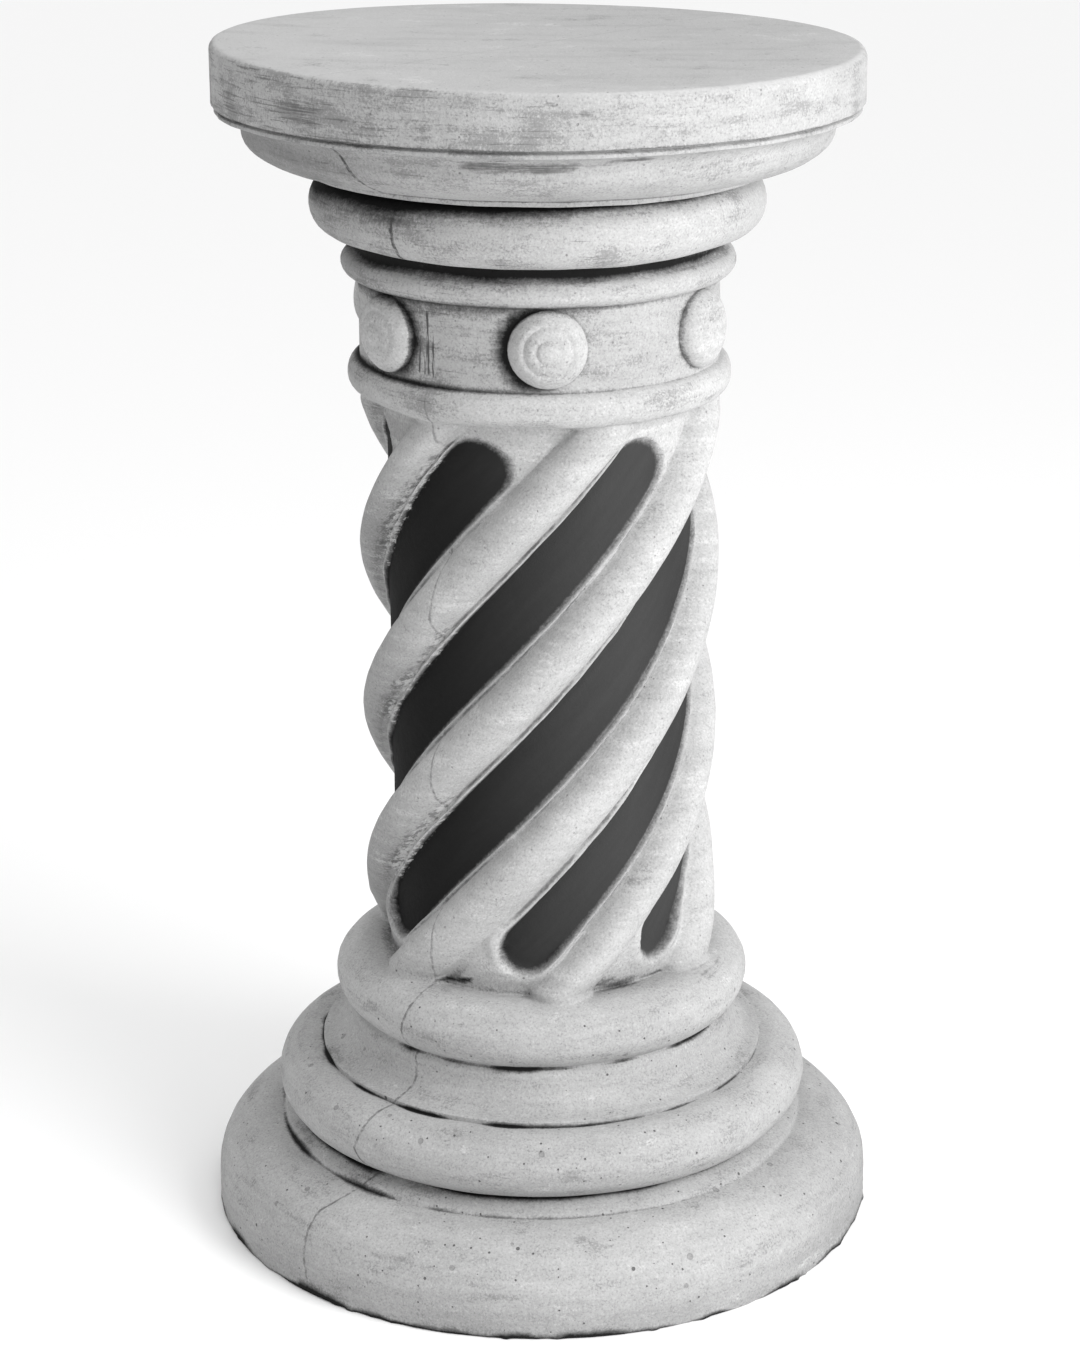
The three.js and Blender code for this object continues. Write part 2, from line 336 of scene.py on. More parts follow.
def capital_profile():
    """From the belly of the neck bead to the rim of the top face."""
    cove_radius = SLAB_FILLET_RADIUS - COVE_WIDTH
    cove_height = SLAB_FILLET_BOTTOM - COVE_DEPTH
    ovolo = ellipse((OVOLO_INNER, cove_height), (cove_radius, OVOLO_BOTTOM))
    cove = ellipse((SLAB_FILLET_RADIUS, cove_height), (cove_radius, SLAB_FILLET_BOTTOM))
    edge = ellipse((SLAB_RADIUS - SLAB_EDGE, HEIGHT - SLAB_EDGE), (SLAB_RADIUS, HEIGHT))
    corners = [
        *arc(NECK_BEAD, NECK_BEAD_START_ANGLE, 80, 7),
        (FRIEZE_RADIUS, NECK_BEAD["height"] + NECK_BEAD["rise"]),
        (FRIEZE_RADIUS, CAP_BEAD["height"] - CAP_BEAD["rise"]),
        *arc(CAP_BEAD, -78, 78, 9),
        (CAP_NECK_RADIUS, CAP_BEAD["height"] + CAP_BEAD["rise"] + 2),
        (CAP_NECK_RADIUS + 1, CAP_ROLL["height"] - CAP_ROLL["rise"] - 0.5),
        *arc(CAP_ROLL, -84, 84, 13),
        (GORGE_RADIUS, OVOLO_FILLET_BOTTOM - 0.6),
        (OVOLO_FILLET_RADIUS - 1, OVOLO_FILLET_BOTTOM),
        (OVOLO_FILLET_RADIUS, OVOLO_BOTTOM),
        *arc(ovolo, -74, 0, 9),
        *arc(cove, 180, 96, 6)[1:],
        (SLAB_FILLET_RADIUS, SLAB_FILLET_BOTTOM),
        (SLAB_FILLET_RADIUS, SLAB_FILLET_TOP - 0.8),
        (SLAB_FILLET_RADIUS - 2.5, SLAB_FILLET_TOP),
        (SLAB_FILLET_RADIUS - 2.5, SLAB_BOTTOM),
        (SLAB_RADIUS, SLAB_BOTTOM),
        *arc(edge, 0, 90, 5),
    ]
    return spread(softened(corners, 1.3), 7)


def smooth_step(value, low, high):
    share = np.clip((value - low) / (high - low), 0, 1)
    return share * share * (3 - 2 * share)


def window(value, start, full, full_end, end):
    """1 between full and full_end, fading to 0 at start and at end."""
    return smooth_step(value, start, full) * (1 - smooth_step(value, full_end, end))


def band(height, name):
    """1 over a stretch of the column's height."""
    return window(height, *BANDS[name])


def bump(value, middle, half_width):
    """1 at the middle, falling off softly on both sides."""
    return np.exp(-(((value - middle) / half_width) ** 2))


def twist(height):
    """Azimuth in degrees of the first rib's crest, measured from the front towards +X."""
    return TWIST_START + TWIST_PER_MM * (height - TWIST_START_HEIGHT)


def turned_points(radius, height, azimuth):
    """Points at a radius, a height and an azimuth in radians from the front towards +X."""
    return np.stack([radius * np.sin(azimuth), -radius * np.cos(azimuth), height], axis=-1)


def panel_values(panel, name):
    """A value from PANELS for every point, by the panel it is beside."""
    return np.array([entry[name] for entry in PANELS])[panel]


def panel_edges(panel, height):
    """Azimuth of a panel's two edges from its middle line, in degrees, at a height."""
    share = np.clip((height - PANEL_FOOT) / (PANEL_HEAD - PANEL_FOOT), 0, 1) ** 2
    foot = panel_values(panel, "foot")
    head = panel_values(panel, "head")
    edges = (foot + (head - foot) * np.asarray(share)[..., None]) * DEGREES_PER_MM_ACROSS
    return edges[..., 0], edges[..., 1]


def bent(value, known, wanted):
    """Carries value from one set of four rising marks to another, straight between marks."""
    result = np.zeros_like(value)
    for low, high, new_low, new_high in zip(known, known[1:], wanted, wanted[1:]):
        share = (value - low) / (high - low)
        result = np.where(value >= low, new_low + share * (new_high - new_low), result)
    return result


def even_marks():
    """Both edges of an even panel, between the crests of its ribs."""
    edge = PAINT_EDGE * DEGREES_PER_MM_ACROSS
    return [-HALF_SPACING, -edge, edge, HALF_SPACING]


def real_marks(panel, height):
    """Both edges of a panel as it is, between the crests of its ribs."""
    left, right = panel_edges(panel, height)
    return [-HALF_SPACING, left, right, HALF_SPACING]


def panel_length(from_middle, panel, height):
    """Millimetres along a panel from its middle, and half its length between the end centres."""
    low = panel_values(panel, "low")
    high = panel_values(panel, "high")
    level = np.radians(from_middle) * RIB_ROOT
    along = (height - (low + high) / 2) / math.cos(LEAN) + level * math.sin(LEAN)
    return along, (high - low) / 2 / math.cos(LEAN)


def panel_distance(from_middle, panel, height):
    """Distance in millimetres from the middle line of an even, round-ended panel."""
    along, half_length = panel_length(from_middle, panel, height)
    across = np.radians(from_middle) * RIB_ROOT * math.cos(LEAN)
    return np.hypot(across, np.maximum(np.abs(along) - half_length, 0))


def end_share(from_middle, panel, height, end, start=-6, full=8):
    """0 along the sides of a panel, 1 round its upper or its lower end."""
    along, half_length = panel_length(from_middle, panel, height)
    return smooth_step(end * along - half_length, start, full)


def collar_share(from_middle, panel, height):
    """1 round the lower end of a panel and a little way up its sides."""
    return end_share(from_middle, panel, height, LOWER, -22, 0)


def sharp_side(from_middle):
    """1 along a panel's upper left edge, where the paint stops short, 0 where it fades out."""
    return smooth_step(-from_middle, 4, 9)


def lip_share(points, from_middle, panel, height):
    """How much of a lip stands round a panel: it comes and goes, and the ends have next to none."""
    uneven = 0.8 + 0.9 * noise_at(points, 28, 6.1)
    side = 0.65 + 0.35 * sharp_side(from_middle)
    upper = end_share(from_middle, panel, height, UPPER)
    lower = end_share(from_middle, panel, height, LOWER)
    return np.clip(uneven, 0.1, 1.3) * side * (1 - upper - 0.92 * lower)


def rib_distance(from_middle):
    """Distance in millimetres from the crest line of the nearest rib."""
    return (HALF_SPACING - np.abs(from_middle)) / DEGREES_PER_MM_ACROSS


def shaft_radius(from_middle, panel, height, waver, lip_here):
    """Ribs, raised lips and sunk panels, by degrees from the panel's middle line and height."""
    flare = smooth_step(FLARE_TOP - height, 0, FLARE_TOP - FLARE_BOTTOM) ** 2
    crest = RIB_CREST + FLARE_REACH * flare
    across = np.clip(rib_distance(from_middle) / RIB_HALF_WIDTH, 0, 1)
    rib = RIB_ROOT + (crest - RIB_ROOT) * (1 - across**2) ** RIB_ROUNDNESS
    away = panel_distance(from_middle, panel, height) + 0.5 * waver
    wall = smooth_step(away, PANEL_FLOOR_EDGE, PANEL_WALL_EDGE)
    tongue = TONGUE_RISE * bump(height, TONGUE_HEIGHT, TONGUE_HALF_HEIGHT)
    face = PANEL_FLOOR + tongue + (PANEL_FACE - PANEL_FLOOR) * wall
    lip = LIP_RISE * lip_here * bump(away, LIP_MIDDLE, LIP_HALF_WIDTH)
    collar = bump(away, COLLAR_MIDDLE, COLLAR_HALF_WIDTH)
    collar *= COLLAR_RISE * collar_share(from_middle, panel, height)
    return np.maximum(rib, face + lip + collar)


def column_angles():
    """Degrees from a panel's middle line at which the mesh is divided, close together at the lips."""
    half = np.concatenate([
        np.linspace(0, 10.5, 5, endpoint=False),
        np.linspace(10.5, 18.5, 12, endpoint=False),
        np.linspace(18.5, HALF_SPACING, 5, endpoint=False),
    ])
    return np.concatenate([[-HALF_SPACING], -half[1:][::-1], half])


def shaft_heights():
    """Heights at which the shaft is divided, close together where the panels end."""
    low_end = PANEL_FOOT - 20
    high_end = PANEL_HEAD + 18
    return np.concatenate([
        np.linspace(SHAFT_BOTTOM, low_end, 4, endpoint=False),
        np.linspace(low_end, PANEL_FOOT + 6, 18, endpoint=False),
        np.linspace(PANEL_FOOT + 6, PANEL_HEAD - 6, 80, endpoint=False),
        np.linspace(PANEL_HEAD - 6, high_end, 17, endpoint=False),
        np.linspace(high_end, SHAFT_TOP, 5),
    ])


def eased(start, end, steps):
    """Rows that leave start level and reach end upright, without the two ends."""
    rows = []
    for step in range(1, steps):
        turn = step / steps * math.pi / 2
        rows.append((
            start[0] + (end[0] - start[0]) * math.sin(turn),
            start[1] + (end[1] - start[1]) * (1 - math.cos(turn)),
        ))
    return rows


def casting_rows():
    """Radius, height and azimuth of every ring of the mesh, from the underside to the top face."""
    from_middle = np.tile(column_angles(), RIB_COUNT)
    panel = np.repeat(np.arange(RIB_COUNT), len(column_angles()))
    ones = np.ones_like(from_middle)
    rows = []

    def azimuths(height):
        uneven = bent(from_middle, even_marks(), real_marks(panel, height))
        return twist(height) + HALF_SPACING * (2 * panel + 1) + uneven

    def add_rings(places, turned_height):
        for radius, height in places:
            rows.append((radius * ones, height * ones, azimuths(turned_height)))

    def shaft_ring(height):
        place = turned_points(RIB_ROOT, height * ones, np.radians(azimuths(height)))
        waver = noise_at(place, 13, 2.3)
        lip_here = lip_share(place, from_middle, panel, height)
        return shaft_radius(from_middle, panel, height, waver, lip_here)

    add_rings([(radius, 0) for radius in (60, 130, FOOT_RADIUS - 22)], SHAFT_BOTTOM)
    add_rings(base_profile(), SHAFT_BOTTOM)

    foot_radius = shaft_ring(SHAFT_BOTTOM)
    reach = np.clip((foot_radius - UPPER_ROLL["radius"]) / UPPER_ROLL["reach"], CREASE_REACH, 0.95)
    roll = arc(UPPER_ROLL, UPPER_ROLL_END_ANGLE, np.degrees(np.arccos(reach)), 7)[1:]
    add_rings(roll, SHAFT_BOTTOM)
    add_rings(eased(roll[-1], (foot_radius, SHAFT_BOTTOM), 6), SHAFT_BOTTOM)

    for height in shaft_heights():
        add_rings([(shaft_ring(height), height)], height)

    neck_radius = shaft_ring(SHAFT_TOP)
    reach = np.clip((neck_radius - NECK_BEAD["radius"]) / NECK_BEAD["reach"], 0, 0.8)
    bead = arc(NECK_BEAD, -np.degrees(np.arccos(reach)), NECK_BEAD_START_ANGLE, 5)[:-1]
    add_rings(reversed(eased(bead[0], (neck_radius, SHAFT_TOP), 5)), SHAFT_TOP)
    add_rings(bead, SHAFT_TOP)
    add_rings(capital_profile(), SHAFT_TOP)
    add_rings([(radius, HEIGHT) for radius in (150, 100, 50)], SHAFT_TOP)
    return [np.array(part) for part in zip(*rows)]


def blended(field, weight, passes):
    """Evens out a ring-by-ring field where weight is high, so that forms run into each other."""
    for _ in range(passes):
        around = (np.roll(field, 1, axis=1) + np.roll(field, -1, axis=1)) / 2
        along = field.copy()
        along[1:-1] = (field[2:] + field[:-2]) / 2
        field = field + weight * (0.5 * (around + along) - field)
    return field


def placed(name, data):
    """An object in the scene with a mesh, a light or a camera as its data."""
    made = bpy.data.objects.new(name, data)
    bpy.context.scene.collection.objects.link(made)
    return made


def mesh_object(name, points, faces):
    mesh = bpy.data.meshes.new(name)
    mesh.from_pydata(points.tolist(), [], faces)
    mesh.update()
    return placed(name, mesh)


def ring_faces(row_count, column_count):
    """Triangles between rings, and a fan of them at the point before and after the rings."""
    pairs = [(column, (column + 1) % column_count) for column in range(column_count)]
    faces = []
    for low in range(1, 1 + (row_count - 1) * column_count, column_count):
        high = low + column_count
        for column, after in pairs:
            faces.append((low + column, low + after, high + column))
            faces.append((low + after, high + after, high + column))
    for column, after in pairs:
        faces.append((0, 1 + after, 1 + column))
        faces.append((high + column_count, high + column, high + after))
    return faces


def casting():
    """Base, shaft and capital as one closed mesh."""
    radius, height, azimuth = casting_rows()
    on_rib = smooth_step(np.abs(np.tile(column_angles(), RIB_COUNT)), 15, 24)
    rib_foot = band(height, "rib_foot") * (0.2 + 0.5 * on_rib)
    rib_head = 0.6 * band(height, "rib_head")
    radius = blended(radius, rib_foot + rib_head, 14)
    height = blended(height, rib_foot, 14)
    rings = turned_points(radius, height, np.radians(azimuth))
    points = np.concatenate([[[0, 0, 0]], rings.reshape(-1, 3), [[0, 0, HEIGHT]]])
    return mesh_object("column_casting", points * MM, ring_faces(*radius.shape))


def rosette_rise(distance, turn):
    """Rise over the frieze by the distance from the axis: a dome with two rings, faint on the right."""
    dome_distance = [0, 4.6, 9.6, 12.9, 15.8, 17.6, 19.6, 21.1, 21.8]
    dome_rise = [12.4, 11.8, 10.6, 9.5, 8.4, 7.3, 5.5, 3.4, 1.2]
    dome = np.interp(distance, dome_distance, dome_rise)
    inner = bump(distance, 6.6, 1.2)
    outer = bump(distance, 13.4, 1.3)
    return dome - (1.0 * inner + 1.05 * outer) * (0.75 - 0.25 * np.cos(turn + 0.4))


def rosette(number, sides=36, steps=26):
    """A domed button on the frieze."""
    turn = np.linspace(0, 2 * math.pi, sides, endpoint=False)
    slope = np.linspace(math.pi / 2, 0.06, steps)
    distance = np.concatenate([[ROSETTE_RADIUS], ROSETTE_RADIUS * np.sin(slope)])[:, None]
    rise = rosette_rise(distance, turn)
    rise[0] = -ROSETTE_ROOT
    rings = np.stack([
        distance * np.cos(turn),
        -(FRIEZE_RADIUS + rise),
        distance * np.sin(turn) + ROSETTE_HEIGHT,
    ], axis=-1)
    back = [[0, -(FRIEZE_RADIUS - ROSETTE_ROOT), ROSETTE_HEIGHT]]
    tip = [[0, -(FRIEZE_RADIUS + ROSETTE_TIP), ROSETTE_HEIGHT]]
    points = np.concatenate([back, rings.reshape(-1, 3), tip])
    azimuth = math.radians(ROSETTE_AZIMUTHS[number])
    x = points[:, 0] * math.cos(azimuth) - points[:, 1] * math.sin(azimuth)
    y = points[:, 0] * math.sin(azimuth) + points[:, 1] * math.cos(azimuth)
    turned = np.stack([x, y, points[:, 2]], axis=-1)
    return mesh_object(f"rosette_{number}", turned * MM, ring_faces(len(distance), sides))


def joined(body, extras):
    """One closed mesh from the body and the pieces that stand on it."""
    for extra in extras:
        join = body.modifiers.new("join", "BOOLEAN")
        join.operation = "UNION"
        join.solver = "MANIFOLD"
        join.object = extra
    depsgraph = bpy.context.evaluated_depsgraph_get()
    mesh = bpy.data.meshes.new_from_object(body.evaluated_get(depsgraph))
    mesh.name = "column_stone"
    whole = placed("column_stone", mesh)
    for spare in [body, *extras]:
        bpy.data.objects.remove(spare)
    return whole


def mesh_points(mesh):
    flat = np.zeros(len(mesh.vertices) * 3)
    mesh.vertices.foreach_get("co", flat)
    return flat.reshape(-1, 3) / MM


def noise_at(points, size, offset):
    """Smooth noise from -1 to 1 with bumps of about the given size in millimetres."""
    scaled = points / size + offset
    return np.array([noise.noise(Vector(point)) for point in scaled])


def azimuth_of(points):
    """Degrees from the front towards +X."""
    return np.degrees(np.arctan2(points[:, 0], -points[:, 1]))


def radius_of(points):
    return np.hypot(points[:, 0], points[:, 1])


def top_slope(points):
    """The slab is thicker on the left, so its top falls a little to the right."""
    across = points[:, 0]
    fall = TOP_BOW * (across / SLAB_RADIUS) ** 2 - TOP_SLOPE * across
    return fall * smooth_step(points[:, 2], SLAB_BOTTOM + 2, HEIGHT - SLAB_EDGE)


def worn_edges(points):
    """How far the rubbed edges are worn in, in millimetres, below 0."""
    worn = np.zeros(len(points))
    for edge_radius, edge_height in WORN_EDGES:
        away = np.hypot(radius_of(points) - edge_radius, points[:, 2] - edge_height)
        worn = np.maximum(worn, bump(away, 0, 3))
    return worn * 0.9 * np.minimum(noise_at(points, 9, 4.4) + 0.1, 0)


def crumb_rise(points):
    """How far the mortar crumbs stand out, in millimetres, drawn out along the panels."""
    across, along = panel_grid(points)
    grid = np.stack([across / MM, 0.22 * along / MM, 0 * across], axis=-1)
    return CRUMB_RISE * crust(points) * noise_at(grid, 2.2, 1.7)


def hand_cast(mesh):
    """Slightly uneven rolls and worn edges, as a hand-made mould leaves them."""
    points = mesh_points(mesh)
    radius = radius_of(points)
    height = points[:, 2].copy()
    outward = points[:, :2] / np.maximum(radius, 1)[:, None]
    swell = 0.85 * noise_at(points, 75, 3.1) + 0.3 * noise_at(points, 17, 7.7)
    lift = 0.8 * noise_at(points, 120, 11.3) + 0.3 * noise_at(points, 28, 5.9)
    lift += NECK_BEAD_WAVER * noise_at(points, 38, 13.7) * band(height, "neck_bead")
    beside = smooth_step(np.abs(azimuth_of(points)), 15, 60)
    lift += ROLL_SIDE_LIFT * beside * band(height, "cap_roll_foot")
    body = smooth_step(radius, 20, 80)
    inside = smooth_step(height, 0, 12) * smooth_step(HEIGHT - height, -0.5, 8)
    ground_crumbs = np.clip(2.6 * noise_at(points, 6, 2.9), 0, GROUND_CRUMB_RISE)
    ground_crumbs *= smooth_step(4 - height, 0, 4)
    swell = (swell + worn_edges(points) + ground_crumbs) * body + crumb_rise(points)
    points[:, :2] += outward * swell[:, None]
    points[:, 2] += lift * inside + top_slope(points)
    mesh.vertices.foreach_set("co", (points * MM).ravel())
    mesh.update()


def panel_coordinates(points):
    """For every point, the panel it is beside and the degrees from an even panel's middle line."""
    turned = (azimuth_of(points) - twist(points[:, 2])) % 360
    panel = np.floor(turned / (2 * HALF_SPACING)).astype(int) % RIB_COUNT
    uneven = turned - HALF_SPACING * (2 * panel + 1)
    return panel, bent(uneven, real_marks(panel, points[:, 2]), even_marks())


def on_shaft(points):
    return (points[:, 2] > SHAFT_BOTTOM - 1) & (points[:, 2] < SHAFT_TOP + 3)


def on_rosette(points):
    height = points[:, 2]
    return (height > FRIEZE_BOTTOM) & (height < FRIEZE_TOP) & (radius_of(points) > FRIEZE_RADIUS + 1.5)


def near_panel(points):
    """The panel beside each point, the degrees from its middle line and the millimetres from it."""
    panel, from_middle = panel_coordinates(points)
    return panel, from_middle, panel_distance(from_middle, panel, points[:, 2])


def panel_paint(points):
    """Above 1 on the dark floor of a panel, below 0 on bare stone, and falling evenly between."""
    panel, from_middle, away = near_panel(points)
    sharp = sharp_side(from_middle)
    upper = end_share(from_middle, panel, points[:, 2], UPPER)
    lower = end_share(from_middle, panel, points[:, 2], LOWER)
    crumbs = crust(points)
    fade_start = PAINT_FADE_START + 1.6 * sharp - 2.2 * upper - 1.5 * crumbs - 1.2 * lower
    fade_end = PAINT_FADE_END - 0.9 * sharp + 1.2 * upper + 0.6 * crumbs + 0.6 * lower
    level = np.clip((fade_end - away) / (fade_end - fade_start), NO_PAINT, FULL_PAINT)
    return np.where(on_shaft(points), level, NO_PAINT)


def panel_edge(points):
    """Distance from a panel's middle line in millimetres, cut off far from it."""
    away = near_panel(points)[2]
    return np.where(on_shaft(points), np.minimum(away, FAR_FROM_PANEL), FAR_FROM_PANEL)


def lip_presence(points):
    panel, from_middle = panel_coordinates(points)
    share = lip_share(points, from_middle, panel, points[:, 2])
    return np.where(on_shaft(points), np.clip(share, 0, 1) * (1 - 0.75 * crust(points)), 0)


def panel_grid(points):
    """Metres across and along the nearest panel, for marks that follow it."""
    panel, from_middle = panel_coordinates(points)
    across = from_middle / DEGREES_PER_MM_ACROSS
    along = points[:, 2] / math.cos(LEAN) + 1000 * panel
    return across * MM, along * MM


def crust(points):
    """1 where crumbs of mortar stick to the upper lips on the left side."""
    panel, from_middle, away = near_panel(points)
    beside = bump(away, 18.6, 3.6) * sharp_side(from_middle)
    beside *= 1 - collar_share(from_middle, panel, points[:, 2])
    turned_away = window(azimuth_of(points), -92, -72, -38, -26)
    clumps = np.clip(0.85 + 0.9 * noise_at(points, 24, 9.2), 0.2, 1)
    return np.where(on_shaft(points), beside * turned_away * clumps, 0)


def rosette_grime_and_shade(points):
    """Dark wash round the rosettes, wider and darker on one side of each; on the front rosette that dark
    side is painted shade.
    """
    height = points[:, 2]
    grime_and_shade = np.zeros(len(points))
    for azimuth, (dark_side, dark, reach) in zip(ROSETTE_AZIMUTHS, ROSETTE_GRIME_AND_SHADE):
        from_rosette = (azimuth_of(points) - azimuth + 180) % 360 - 180
        side = np.radians(from_rosette) * FRIEZE_RADIUS
        rim = np.hypot(side, height - ROSETTE_HEIGHT) - ROSETTE_RADIUS
        toward = smooth_step(dark_side * side / ROSETTE_RADIUS, -0.5, 0.9)
        spread_out = np.where(rim > 0, 3.4 + (reach - 3.4) * toward, 0.8)
        depth = 0.46 + (dark - 0.46) * toward
        grime_and_shade = np.maximum(grime_and_shade, depth * np.exp(-((np.abs(rim) / spread_out) ** 1.2)))
    return np.where((height > FRIEZE_BOTTOM - 2) & (height < FRIEZE_TOP + 1), grime_and_shade, 0)


def rib_foot_shade(points):
    """Painted shade low down beside each rib's right flank, and grey painted shade under the stone between
    ribs.
    """
    panel, from_middle = panel_coordinates(points)
    height = points[:, 2]
    radius = radius_of(points)
    from_crease = np.hypot(radius - CREASE_RADIUS, height - CREASE_HEIGHT)
    from_rib = (from_middle + 19) / 11
    wedge_middle = CREASE_HEIGHT + 1 + 3 * np.clip(from_rib, 0, 1.2)
    wedge_half = 0.8 + 2.2 * np.clip(from_rib, 0, 1.2)
    wedge = bump(height, wedge_middle, wedge_half) * bump(radius, CREASE_RADIUS, 7)
    wedge *= window(from_rib, -0.15, 0.1, 0.9, 1.2)
    up_flank = np.maximum(height - CREASE_HEIGHT - 1, 0)
    up_flank_shade = 0.75 * bump(from_middle, -14.5, 2.6) * np.exp(-up_flank / 14)
    flank = np.maximum(wedge, up_flank_shade * smooth_step(height, CREASE_HEIGHT, CREASE_HEIGHT + 3))
    under_stone = bump(from_middle, -3, 12) * bump(from_crease, 0, 3.6)
    flank_shade, under_stone_shade = np.array(RIB_FOOT_SHADE)[panel].T
    far_left = window(-azimuth_of(points), 58, 70, 95, 115)
    left_shade = 0.62 * bump(from_crease, 0, 7) * far_left
    return np.max([flank_shade * flank, under_stone_shade * under_stone, left_shade], axis=0)


def lip_shade(points):
    """Soft painted shade on the rib above each panel, far round on the left."""
    from_middle, away = near_panel(points)[1:]
    beside = bump(away, 21.5, 2.6) * sharp_side(from_middle)
    around = window(-azimuth_of(points), 46, 66, 100, 130)
    return np.where(on_shaft(points), 0.4 * beside * around, 0)


def groove_wash_and_shade(points):
    """Distance from the darkest groove nearby, in reaches of its wash, and how dark that wash is. The wash
    is patina, with painted shade under the overhangs and on the left.
    """
    radius = radius_of(points)
    height = points[:, 2]
    to_left = -np.sin(np.radians(azimuth_of(points)))
    uneven = 1 + 0.4 * noise_at(points, 42, 8.3)
    broken = np.clip(0.95 + 1.3 * noise_at(points, 26, 12.1), 0.35, 1.25)
    nearest = np.full(len(points), 5.0)
    darkest = np.zeros(len(points))
    most = np.zeros(len(points))
    for groove_radius, groove_height, reach, depth, lean in GROOVES:
        more = (1 + lean * to_left) * (broken if groove_height < 130 else 1)
        share = uneven * np.hypot(radius - groove_radius, height - groove_height) / (reach * more)
        wash_and_shade = depth * more * np.exp(-(share**1.25))
        darker = wash_and_shade > most
        most = np.where(darker, wash_and_shade, most)
        nearest = np.where(darker, np.minimum(share, 5), nearest)
        darkest = np.where(darker, depth * more, darkest)
    clean_fillet = (radius > 128) & (height > 631.5) & (height < 634)
    return nearest, np.where(clean_fillet, 0.25 * darkest, darkest)


def seam_distance(points):
    """Signed distance from the mould seam in millimetres, cut off well away from it."""
    path = np.interp(points[:, 2], SEAM_HEIGHTS, SEAM_AZIMUTHS)
    from_seam = (azimuth_of(points) - path + 90) % 180 - 90
    return np.clip(np.radians(from_seam) * radius_of(points), -SEAM_REACH, SEAM_REACH)


def smudges_and_shade(points):
    """Grey smears: stains left by handling, and painted shade under the cove, on the cap roll and at the
    rib feet.
    """
    radius = radius_of(points)
    marks = np.zeros(len(points))
    for first_azimuth, first_height, last_azimuth, last_height, half_width, depth in SMUDGES_AND_SHADE:
        level = np.radians(azimuth_of(points) - first_azimuth) * radius
        up = points[:, 2] - first_height
        run = np.radians(last_azimuth - first_azimuth) * radius
        rise = last_height - first_height
        share = np.clip((level * run + up * rise) / (run**2 + rise**2 + 1), 0, 1)
        away = np.hypot(level - share * run, up - share * rise)
        marks = np.maximum(marks, depth * bump(away, 0, half_width))
    return marks


def scratches(points):
    """1 where upright scratches run beside the seam on the frieze."""
    return window(azimuth_of(points), -42, -40, -33, -30) * band(points[:, 2], "scratches")


def behind(points):
    """0 on the side that faces the front, 1 at the back, where left and right meet."""
    return smooth_step(np.abs(azimuth_of(points)), 100, 165)


def brush_wear(points):
    """How much of the pale coat is brushed off: most on the left of the capital, least on top."""
    height = points[:, 2]
    left = smooth_step(-azimuth_of(points), -30, 45)
    left += (0.5 - left) * behind(points)
    wear = 0.1 + np.interp(height, WEAR_HEIGHTS, WEAR_AMOUNTS) * (0.32 + 0.68 * left)
    return np.where(on_rosette(points) | (height > HEIGHT - 0.8), 0, wear)


def painted_panel_shade(points):
    """How much painted shade darkens a panel's paint: least on the right, most on the left."""
    azimuth = azimuth_of(points)
    right = 0.3 * smooth_step(azimuth, 38, 62) * smooth_step(points[:, 2], 210, 260)
    panel_shade_share = np.maximum(smooth_step(-azimuth, -40, 50), right)
    return panel_shade_share + (0.6 - panel_shade_share) * behind(points)


def painted_stone_shade(points):
    """Painted shade on the stone: most near the ground and on the right of the foot, where the light falls
    off, and on the left of the shaft and capital, away from the light.
    """
    height = points[:, 2]
    azimuth = azimuth_of(points)
    near_ground = 1 - smooth_step(height, -5, 40)
    foot_right = (1 - smooth_step(height, 52, 62)) * smooth_step(azimuth, 40, 65)
    left = smooth_step(-azimuth, 36, 72)
    left_zones = 0.3 * band(height, "shaft") + 0.2 * band(height, "neck") + 0.14 * band(height, "cap_roll")
    ovolo = 0.28 * band(height, "ovolo") * smooth_step(-azimuth, 18, 55)
    front = 1 - smooth_step(np.abs(azimuth), 90, 120)
    ground = 0.1 * near_ground + 0.1 * foot_right * (1 - behind(points))
    return ground + left_zones * left * front + ovolo * front


def stone_tone_and_shade(points):
    """How pale the stone is, 1 for pale: palest on the shaft and on the rosettes, with the painted shade
    taken off.
    """
    height = points[:, 2]
    azimuth = azimuth_of(points)
    left = smooth_step(-azimuth, 36, 72)
    to_side = np.abs(azimuth)
    pale = 0.14 * np.maximum(band(height, "clean_shaft"), on_rosette(points))
    # Less pale on the left of the cap roll: painted shade.
    pale += 0.08 * band(height, "cap_roll") * (1 - left)
    pale += 0.1 * band(height, "upper_roll") * smooth_step(to_side, 30, 60)
    pale += 0.06 * band(height, "foot_front") * (1 - smooth_step(to_side, 32, 55))
    pale += 0.1 * top_face(points) * np.clip(-points[:, 0] / SLAB_RADIUS, -0.4, 1)
    return 0.86 + pale - painted_stone_shade(points)


def top_face(points):
    return smooth_step(points[:, 2], HEIGHT - 2.5, HEIGHT - 0.3)


